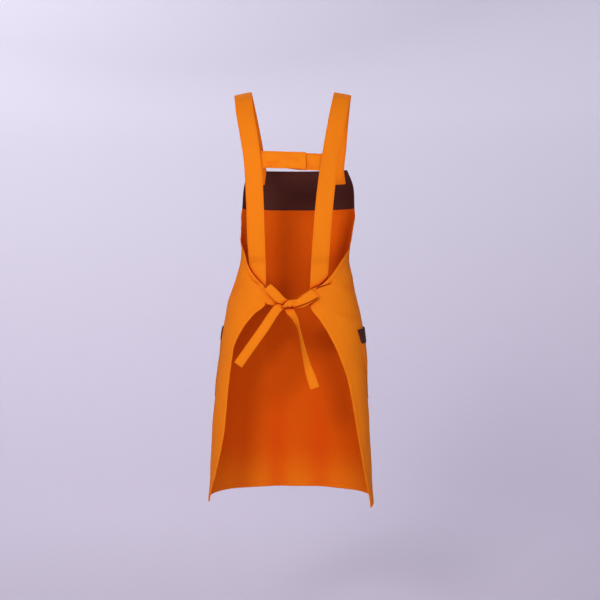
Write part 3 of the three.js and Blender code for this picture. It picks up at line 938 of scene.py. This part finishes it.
def stripLayers(grid, places, half, shift=0, endFold=0):
    out = gridNormals(grid)
    away = (1 - np.abs(places)) * half
    section = stripSettings["wall"] / 2 - stripSettings["edge"] * bell(away, 0, stripSettings["edgeWidth"])
    section = section - stripGroove(away) + stripSettings["fill"] * step(away, *stripSettings["fillFrom"])
    # Painted shade along the stitched grooves
    shade = bell(away, stripSettings["stitchInset"], stripSettings["shadeWidth"])
    shade = stripSettings["seamShade"] * shade
    values = (section + endFold, shade, shift)
    thick, shade, move = (np.broadcast_to(value, grid.shape[:2]) for value in values)
    return grid + out * (move + thick)[..., None], grid + out * (move - thick)[..., None], (shade, shade)


def stitchColumns(places, half):
    line = 1 - stripSettings["stitchInset"] / half
    return [np.argmin(np.abs(places - sign * line)) for sign in (-1, 1)]


# Shoulder straps, sewn inside the bib band in front and tucked behind the wings at the back
strapSettings = {
    "width": 40,
    "steps": 260,
    "columns": 12,
    "inBib": 34,
    "bibRows": 16,
    "bibStep": 1.5,
    "bibDepth": 2.9,
    "settleFrom": -105,
    "tuck": {"left": 5.4, "right": 7},
    "tuckFrom": -380,
    "tuckBelow": -410,
    "soft": {"height": 0.35, "waves": (34, 52, 75, 110), "seed": 21},
    "softFrom": (30, 90),
    "softTo": (20, 60),
}
buckles = table("height at width", (0.9, 78, 9), (-0.7, 62, 8))
straps = {
    "left": table(
        "x y z lean tilt",
        (82, -90, -170.6, 18, 0),
        (88, -84, -120, 15, 4),
        (98, -66, -68, 10, 8),
        (107, -38, -25, 4, 11),
        (112, 0, -3, 0, 11),
        (110, 34, -17, -3, 10),
        (104, 64, -61, -6, 6),
        (94.5, 83, -115, -9, 2),
        (86, 91, -172, -11, 0),
        (81.5, 90, -250, -9, 0),
        (78.5, 80, -345, -9, 0),
        (75.5, 67.5, -418, -22, 0),
        (75, 70.5, -442, -23, 0),
        (75, 76, -463, -22, 0),
    ),
    "right": table(
        "x y z lean tilt",
        (112, -85, -170.6, 23.5, 0),
        (113, -79, -120, 18, 4),
        (116, -63, -68, 11, 8),
        (119, -37, -25, 4, 11),
        (121, 0, -3, 0, 11),
        (117.5, 34, -17, -3, 10),
        (108, 64, -61, -6, 6),
        (98, 83, -115, -9, 2),
        (88, 91, -172, -11, 0),
        (78, 90.5, -250, -8, 0),
        (70, 84, -345, -7, 0),
        (65, 76.5, -425, -12, 0),
        (64, 79, -447, -12.5, 0),
        (63, 82.5, -470, -12, 0),
    ),
}


def tableLine(rows, t, names):
    keyed = {**rows, "key": np.linspace(0, 1, len(rows["x"]))}
    line = throughPoints(np.stack([rows["x"], rows["y"], rows["z"]], 1), t)
    return line, {name: read(keyed, "key", name, t) for name in names}


strapPieces = {}
strapLines = []
half = strapSettings["width"] / 2
places = placesAcross(half, strapSettings["columns"])
bibRise = np.linspace(-strapSettings["inBib"], -strapSettings["bibStep"], strapSettings["bibRows"])
for name, side in sides:
    rows = {**straps[name], "x": side * straps[name]["x"]}
    t = np.linspace(0, 1, strapSettings["steps"] + 1)
    line, columns = tableLine(rows, t, ("lean", "tilt"))
    lean, tilt = np.radians(columns["lean"]), np.radians(columns["tilt"])
    across = unit(np.stack([side * np.cos(lean) * np.cos(tilt), np.sin(lean), -np.sin(tilt)], 1))
    grid = line[:, None] + across[:, None] * (places * half)[None, :, None]
    behind = step(grid[..., 2], strapSettings["tuckFrom"], strapSettings["tuckBelow"])
    grid = grid + (tuckBehind(grid, strapSettings["tuck"][name]) - grid) * behind[..., None]
    grid = np.concatenate([grid[:1] + bibRise[:, None, None] * np.array([0, 0, 1.0]), grid])
    sewn = underOutline(grid, strapSettings["bibDepth"])
    hold = step(grid[..., 2], strapSettings["settleFrom"], bibTop) * (grid[..., 1] < 0)
    grid = grid + (sewn - grid) * hold[..., None]
    run = runOf(grid)
    left = run[-1] - run
    soft = ripples(run[:, None], places * half, strapSettings["soft"], side)
    soft = soft * (step(run, *strapSettings["softFrom"]) * step(left, *strapSettings["softTo"]))[:, None]
    buckle = sum(height * bell(left, at, width) for height, at, width in zip(*buckles.values()))
    soft = soft + buckle[:, None] * (0.5 - 0.5 * places)
    outer, inner, shade = stripLayers(grid, places, half, side * soft)
    strapPieces[name] = clothPiece(f"strap_{name}_cloth", outer, inner, orange, f"strap_{name}", shade)
    for column in stitchColumns(places, half):
        strapLines += [outer[seamSpan, column], inner[seamSpan, column]]
print("straps made")


# Tabs across the back: the left one laps over the right one, and its end stands off a little
tabSettings = {
    "height": 38,
    "lean": 4.5,
    "steps": 60,
    "columns": 10,
    "lastSteps": (0.012, 0.006, 0.002, 0),
    "endLift": {"left": 1.6, "right": 0},
    "endWidth": 16,
    "endLow": 0.55,
    "endCurl": 0.45,
    "soft": {"height": 0.3, "waves": (22, 34, 50), "seed": 31},
    "pull": {"height": 0.8, "waves": (13, 19, 28), "seed": 41},
    "pullLonger": 0.25,
    "softFrom": (10, 40),
    "softTo": (4, 25),
    "valleyShade": 0.16,
}
tabs = {
    "left": table(
        "x y z",
        (84, 87.6, -166.2),
        (66, 90.8, -166.6),
        (48, 94, -167.1),
        (20, 95.4, -168),
        (-10, 95.6, -168.9),
        (-34, 94.8, -169.6),
    ),
    "right": table(
        "x y z",
        (-86, 87.6, -173.2),
        (-66, 90.6, -172.5),
        (-46, 91.8, -171.8),
        (-20, 91.8, -171.2),
        (6, 91.8, -168.2),
    ),
}
tabPieces = {}
lean = math.radians(tabSettings["lean"])
upright = np.array([0, -math.sin(lean), math.cos(lean)])
half = tabSettings["height"] / 2
places = placesAcross(half, tabSettings["columns"])
t = np.linspace(0, 1, tabSettings["steps"] + 1)
t = np.concatenate([t[:-1], 1 - np.array(tabSettings["lastSteps"])])
for name, side in sides:
    line = tableLine(tabs[name], t, ())[0]
    grid = line[:, None] + upright * (places * half)[None, :, None]
    run = runOf(grid)
    left = run[-1] - run
    lift = tabSettings["endLift"][name] * bell(left, 0, tabSettings["endWidth"])
    grid[..., 1] += lift[:, None] * (tabSettings["endLow"] - tabSettings["endCurl"] * places)
    soft = ripples(run[:, None], places * half, tabSettings["soft"], side)
    soft = soft + ripples(run[:, None] * tabSettings["pullLonger"], places * half, tabSettings["pull"])
    soft = soft * (step(run, *tabSettings["softFrom"]) * step(left, *tabSettings["softTo"]))[:, None]
    outer, inner, shade = stripLayers(grid, places, half, soft, -stripGroove(left)[:, None])
    # Painted shade in the valleys of the wrinkles
    valleyShade = tabSettings["valleyShade"] * np.clip(-soft / tabSettings["pull"]["height"], 0, 1)
    shade = [layer + valleyShade for layer in shade]
    tabPieces[name] = clothPiece(f"back_tab_{name}_cloth", outer, inner, orange, f"back_tab_{name}", shade)
    first, last = stitchColumns(places, half)
    end = np.argmin(np.abs(left - stripSettings["stitchInset"]))
    for layer in (outer, inner):
        edgeLines = layer[seamSpan.start : end + 1]
        strapLines += [edgeLines[:, first], edgeLines[:, last], layer[end, first : last + 1]]
stitchPiece("strap_stitches", strapLines, orangeThread)
print("tabs made")


# Bow: the knot is a tie wrapped round, the loops and tails come out of it, and a lead runs to each wing
knotSettings = {
    "at": (1.6, 101, -492.3),
    "tilt": 4,
    "slant": 5.2,
    "halfWidth": 12.9,
    "spread": 2.3,
    "flatten": 0.85,
    "inner": 6.6,
    "outer": 8.4,
    "steps": 130,
    "startTurn": 160,
    "turns": 410,
    "crease": 0.45,
    "creases": 1.4,
    "creaseSwing": 1.2,
}
tieSettings = {
    "steps": 90,
    "half": 12,
    "columns": 9,
    "pinch": 15,
    "pleat": 0.5,
    "pleats": 1.25,
    "endHem": 0.3,
    "endHemFade": (8.5, 9.5),
    "endStitch": 8,
}
leadSettings = {
    "row": -451,
    "rowSpread": 17,
    "end": (10, -3, -3),
    "endHalf": 7.5,
    "steps": 50,
    "half": 14,
}
leadSewn = table("away depth", (9, 2.6), (0, 2.7))
loops = {
    "left": table(
        "x y z width slope",
        (10, 102.5, -489, 14, 55),
        (22, 106, -484.5, 20, 61),
        (33, 108, -473.5, 21, 56),
        (44, 108, -462.5, 20.5, 51),
        (50, 107, -456.8, 20, 49),
        (52.3, 105, -454.8, 20, 49),
        (50, 103, -457.2, 20, 49),
        (40, 102.5, -467, 20, 50),
        (28, 102, -478, 19, 52),
        (12, 99.5, -491, 14, 50),
    ),
    "right": table(
        "x y z width slope",
        (1, 103.5, -490.5, 13, 14),
        (-11, 107, -490.5, 16, 12),
        (-32.5, 109, -481, 19.5, -12),
        (-44, 108.6, -474.6, 21, -30),
        (-52.5, 107.4, -469.4, 22, -41),
        (-55.5, 105.4, -468.4, 22.5, -43),
        (-53, 103.4, -471.8, 22, -41),
        (-42.5, 103.4, -481, 20, -30),
        (-29.8, 103.4, -489, 19.5, -14),
        (-11, 101, -493.5, 16, 8),
        (1, 99.5, -492.5, 13, 10),
    ),
}
tails = {
    "left": table(
        "x y z width twist",
        (16, 100.5, -492, 15, 0),
        (31, 103, -505, 19, 0),
        (59.5, 108, -547, 20.5, 4),
        (90, 105, -590, 20.5, 2),
        (118.3, 97, -630, 20.5, 0),
    ),
    "right": table(
        "x y z width twist",
        (6, 94, -493, 15, 0),
        (3.4, 98, -505, 18.5, 10),
        (-4, 103, -516, 19, 38),
        (-11.4, 106, -529, 20, 55),
        (-18.8, 108, -551, 20.5, 75),
        (-27.6, 111, -590, 20.5, 66),
        (-37.4, 113, -630, 20.5, 45),
        (-45.2, 113.5, -654, 20.5, 18),
        (-54.4, 113, -681, 20.5, 2),
    ),
}
tieHalf = tieSettings["half"]
tiePlaces = placesAcross(tieHalf, tieSettings["columns"])
tieLines = []
tiePieces = {}


def tieGrid(line, across, width):
    return line[:, None] + across[:, None] * (tiePlaces * (width / 2)[:, None])[..., None]


def pleats(fromKnot, phase):
    depth = tieSettings["pleat"] * bell(fromKnot, 0, tieSettings["pinch"])
    return depth[:, None] * np.cos(2 * np.pi * tieSettings["pleats"] * tiePlaces + phase)


def tiePiece(name, grid, half, shift, hemmed=False):
    run = runOf(grid)
    left = run[-1] - run
    endFold = hemmed * tieSettings["endHem"] * (1 - step(left, *tieSettings["endHemFade"]))[:, None]
    outer, inner, shade = stripLayers(grid, tiePlaces, half, shift, endFold)
    tiePieces[name] = clothPiece(f"{name}_cloth", outer, inner, orange, name, shade)
    for column in stitchColumns(tiePlaces, half):
        tieLines.extend([outer[seamSpan, column], inner[seamSpan, column]])
    if hemmed:
        end = np.argmin(np.abs(left - tieSettings["endStitch"]))
        tieLines.extend([outer[end, seamSpan], inner[end, seamSpan]])


tilt = math.radians(knotSettings["tilt"])
knotAxis = np.array([math.cos(tilt), 0, -math.sin(tilt)])
knotUp = np.array([math.sin(tilt), 0, math.cos(tilt)])
knotMiddle = np.array(knotSettings["at"])
t = np.linspace(0, 1, knotSettings["steps"])
angle = np.radians(knotSettings["startTurn"] + knotSettings["turns"] * t)
reach = knotSettings["inner"] + (knotSettings["outer"] - knotSettings["inner"]) * t
slant = -knotSettings["slant"] * np.sin(angle)
halfWidth = knotSettings["halfWidth"] - knotSettings["spread"] * np.sin(angle)
line = knotMiddle + np.outer(slant, knotAxis)
line = line + np.outer(reach * np.cos(angle) * knotSettings["flatten"], [0, 1, 0])
line = line + np.outer(reach * np.sin(angle), knotUp)
across = np.repeat(-knotAxis[None], len(t), 0)
swing = knotSettings["creaseSwing"] * np.sin(angle)[:, None]
creases = knotSettings["crease"] * np.sin(2 * np.pi * knotSettings["creases"] * tiePlaces + swing)
outer, inner, shade = stripLayers(tieGrid(line, across, 2 * halfWidth), tiePlaces, tieHalf, creases)
tiePieces["bow_knot"] = clothPiece("bow_knot_cloth", outer, inner, orange, "bow_knot", shade)

for name, side in sides:
    t = np.linspace(0, 1, tieSettings["steps"] + 1)
    line, columns = tableLine(loops[name], t, ("width", "slope"))
    slope = np.radians(columns["slope"])
    grid = tieGrid(line, np.stack([-np.sin(slope), 0 * t, np.cos(slope)], 1), columns["width"])
    run = runOf(grid)
    tiePiece(f"bow_loop_{name}", grid, tieHalf, pleats(np.minimum(run, run[-1] - run), side))

    line, columns = tableLine(tails[name], t, ("width", "twist"))
    tangent = unit(np.gradient(line, axis=0))
    flat = unit(np.stack([-tangent[:, 2], 0 * t, tangent[:, 0]], 1))
    twist = np.radians(columns["twist"])[:, None]
    grid = tieGrid(line, flat * np.cos(twist) + np.cross(tangent, flat) * np.sin(twist), columns["width"])
    tiePiece(f"tie_tail_{name}", grid, tieHalf, pleats(runOf(grid), 2 * side), hemmed=True)

    fronts = leadSettings["row"] + leadSettings["rowSpread"] * tiePlaces
    scale = edgeScale(fronts, side)
    sewn = []
    for away, depth in zip(*leadSewn.values()):
        sewn.append(underOutline(onPanel(side * (1 - away * scale), fronts), depth))
    endX, endY, endZ = leadSettings["end"]
    end = knotMiddle + np.array([side * endX, endY, side * endZ])
    end = end + np.outer(tiePlaces * leadSettings["endHalf"], [0, 0, 1])
    paths = np.stack([*sewn, (sewn[1] + end) / 2, end])
    t = np.linspace(0, 1, leadSettings["steps"])
    grid = np.stack([throughPoints(paths[:, k], t) for k in range(len(tiePlaces))], 1)
    run = runOf(grid)
    tiePiece(f"tie_lead_{name}", grid, leadSettings["half"], pleats(run[-1] - run, side))
stitchPiece("tie_stitches", tieLines, orangeThread)
print("bow made")


# Painted shade: deepen the tone where cloth lies close over cloth, by the share of short rays that are
# stopped
gapSettings = {"reach": 19, "rays": 32, "lift": 0.45, "shut": 0.3, "seed": 5}
gapZones = {
    "wings": {"weight": 0.85, "x": (-300, 300), "z": (-525, -370)},
    "straps": {"weight": 0.9, "x": (-300, 300), "z": (-600, 0)},
    "strapRight": {"weight": 0.7, "x": (-300, 0), "z": (-600, -350)},
    "tabs": {"weight": 0.15, "x": (-300, 300), "z": (-300, 0)},
    "underFlap": {"weight": 0.6, "x": (-23, 10), "z": (-300, 0)},
    "ties": {"weight": 0.9, "x": (-300, 300), "z": (-800, 0)},
}


def hemisphere(count, seed):
    chance = np.random.default_rng(seed)
    out = np.sqrt((np.arange(count) + chance.uniform(0, 1, count)) / count)
    turn = np.arange(count) * math.pi * (3 - math.sqrt(5))
    return np.stack([out * np.cos(turn), out * np.sin(turn), np.sqrt(1 - out**2)], 1)


def shadeGaps(pieces, casters):
    points, faces, start = [], [], 0
    for piece in casters:
        points.extend(tuple(vertex.co) for vertex in piece.data.vertices)
        faces.extend([start + i for i in face.vertices] for face in piece.data.polygons)
        start += len(piece.data.vertices)
    solid = BVHTree.FromPolygons(points, faces)
    spread = hemisphere(gapSettings["rays"], gapSettings["seed"])
    reach = gapSettings["reach"] * mm
    for piece, zone in pieces:
        (left, right), (low, high) = np.array(zone["x"]) * mm, np.array(zone["z"]) * mm
        for vertex, mark in zip(piece.data.vertices, piece.data.attributes["crease"].data):
            if not (left < vertex.co.x < right and low < vertex.co.z < high and vertex.co.y > 0):
                continue
            turn = vertex.normal.to_track_quat("Z", "X").to_matrix()
            begin = vertex.co + vertex.normal * gapSettings["lift"] * mm
            stopped = 0
            for way in spread:
                distance = solid.ray_cast(begin, turn @ Vector(way), reach)[3]
                stopped += 0 if distance is None else 1 - distance / reach
            dim = min(1, stopped / len(spread) / gapSettings["shut"])
            mark.value = min(1, mark.value + zone["weight"] * dim)


shaded = [(panel, gapZones["wings"])]
for group, pieces in (("straps", strapPieces), ("tabs", tabPieces), ("ties", tiePieces)):
    shaded += [(piece, gapZones[group]) for piece in pieces.values()]
casters = [piece for piece, _ in shaded]
shaded += [(strapPieces["right"], gapZones["strapRight"]), (tabPieces["right"], gapZones["underFlap"])]
shadeGaps(shaded, casters)
print("gaps shaded")


# Stage: a floor that curves up into a pale backdrop all round
stageSettings = {
    "floor": -1.35,
    "flat": 2.4,
    "wall": 4.2,
    "top": 4.6,
    "turns": 96,
    "steps": 40,
    "paleAbove": 2.0,
    "lowTone": (0.602, 0.562, 0.655),
    "highTone": (0.815, 0.797, 0.873),
    "rough": 0.95,
    "gloss": 0.1,
}
floor, flat, count = (stageSettings[key] for key in ("floor", "flat", "turns"))
curve = stageSettings["wall"] - flat
profile = []
for k in range(stageSettings["steps"] + 1):
    bend = math.pi / 2 * k / stageSettings["steps"]
    profile.append((flat + curve * math.sin(bend), floor + curve * (1 - math.cos(bend))))
profile.append((stageSettings["wall"], stageSettings["top"]))
turns = [2 * math.pi * k / count for k in range(count)]
points = [(0, 0, floor)]
points += [(r * math.cos(a), r * math.sin(a), z) for r, z in profile for a in turns]
faces = [(0, 1 + k, 1 + (k + 1) % count) for k in range(count)]
for ring in range(len(profile) - 1):
    base = 1 + ring * count
    for k in range(count):
        after = (k + 1) % count
        faces.append((base + k, base + count + k, base + count + after, base + after))
backdropMesh = bpy.data.meshes.new("backdrop")
backdropMesh.from_pydata(points, [], faces)
backdropMesh.polygons.foreach_set("use_smooth", np.ones(len(faces), bool))
paper = bpy.data.materials.new("pale_paper")
paper.use_nodes = True
paperShader = paper.node_tree.nodes["Principled BSDF"]
paperSpot = Wire(paper.node_tree, None).node("ShaderNodeTexCoord", {}, "Object")
paperHeight = paperSpot.node("ShaderNodeSeparateXYZ", {0: paperSpot}, 2)
# Painted shade: the paper's tone is darker low down towards the floor and pale higher up
paperRise = (paperHeight - floor) * (1 / stageSettings["paleAbove"])
paperTone = paperRise.mix(paperRise, (*stageSettings["lowTone"], 1), (*stageSettings["highTone"], 1))
paper.node_tree.links.new(paperTone.socket, paperShader.inputs["Base Color"])
paperShader.inputs["Roughness"].default_value = stageSettings["rough"]
paperShader.inputs["Specular IOR Level"].default_value = stageSettings["gloss"]
backdropMesh.materials.append(paper)
backdrop = bpy.data.objects.new("backdrop", backdropMesh)
scene.collection.objects.link(backdrop)


# Lights: a key from the camera's left, a weaker fill, one from the side, a wash behind, and two in front
target = (0, 0, -0.5)
lightSettings = {
    "key": {"at": (0.95, 2.85, 0.7), "to": target, "size": 0.8, "power": 37},
    "fill": {"at": (-0.65, 3.0, -0.8), "to": (0, 0, -0.6), "size": 1.2, "power": 26.5, "sparesStage": True},
    "side": {"at": (2.6, 0.9, 0.0), "to": target, "size": 1.2, "power": 4.5},
    "wash": {"at": (1.7, -1.5, 2.3), "to": (0.9, -4.2, 0.9), "size": 1.8, "power": 40},
    "front": {"at": (0.5, -2.4, 2.4), "to": target, "size": 2.2, "power": 48},
    "frontLow": {"at": (-0.7, -2.8, 0.2), "to": target, "size": 1.4, "power": 13, "sparesStage": True},
}
skySettings = {"colour": (0.93, 0.94, 1.0), "strength": 0.22}
for name, settings in lightSettings.items():
    lamp = bpy.data.lights.new(name, "AREA")
    lamp.shape = "DISK"
    lamp.size = settings["size"]
    lamp.energy = settings["power"]
    light = bpy.data.objects.new(name, lamp)
    light.location = settings["at"]
    light.visible_camera = False
    aim = np.array(settings["to"]) - np.array(settings["at"])
    turnZ = math.atan2(aim[1], aim[0]) - math.pi / 2
    light.rotation_euler = (math.acos(-aim[2] / np.linalg.norm(aim)), 0, turnZ)
    scene.collection.objects.link(light)
    if settings.get("sparesStage"):
        receivers = bpy.data.collections.new(f"lit_by_{name}")
        receivers.objects.link(backdrop)
        receivers.collection_objects[0].light_linking.link_state = "EXCLUDE"
        light.light_linking.receiver_collection = receivers
world = bpy.data.worlds.new("sky")
world.use_nodes = True
sky = world.node_tree.nodes["Background"]
sky.inputs["Color"].default_value = (*skySettings["colour"], 1)
sky.inputs["Strength"].default_value = skySettings["strength"]
scene.world = world
scene.view_settings.view_transform = "Standard"
scene.view_settings.look = "Medium High Contrast"

# Camera at the photograph's place, level and behind the wearer
cameraSettings = {"at": (-0.021, 2.6, -0.484), "lens": 66.66, "sensor": 36}
cameraData = bpy.data.cameras.new("camera")
cameraData.lens = cameraSettings["lens"]
cameraData.sensor_width = cameraSettings["sensor"]
camera = bpy.data.objects.new("camera", cameraData)
camera.location = cameraSettings["at"]
camera.rotation_euler = (math.pi / 2, 0, math.pi)
scene.collection.objects.link(camera)
scene.camera = camera
print("stage, light and camera set")
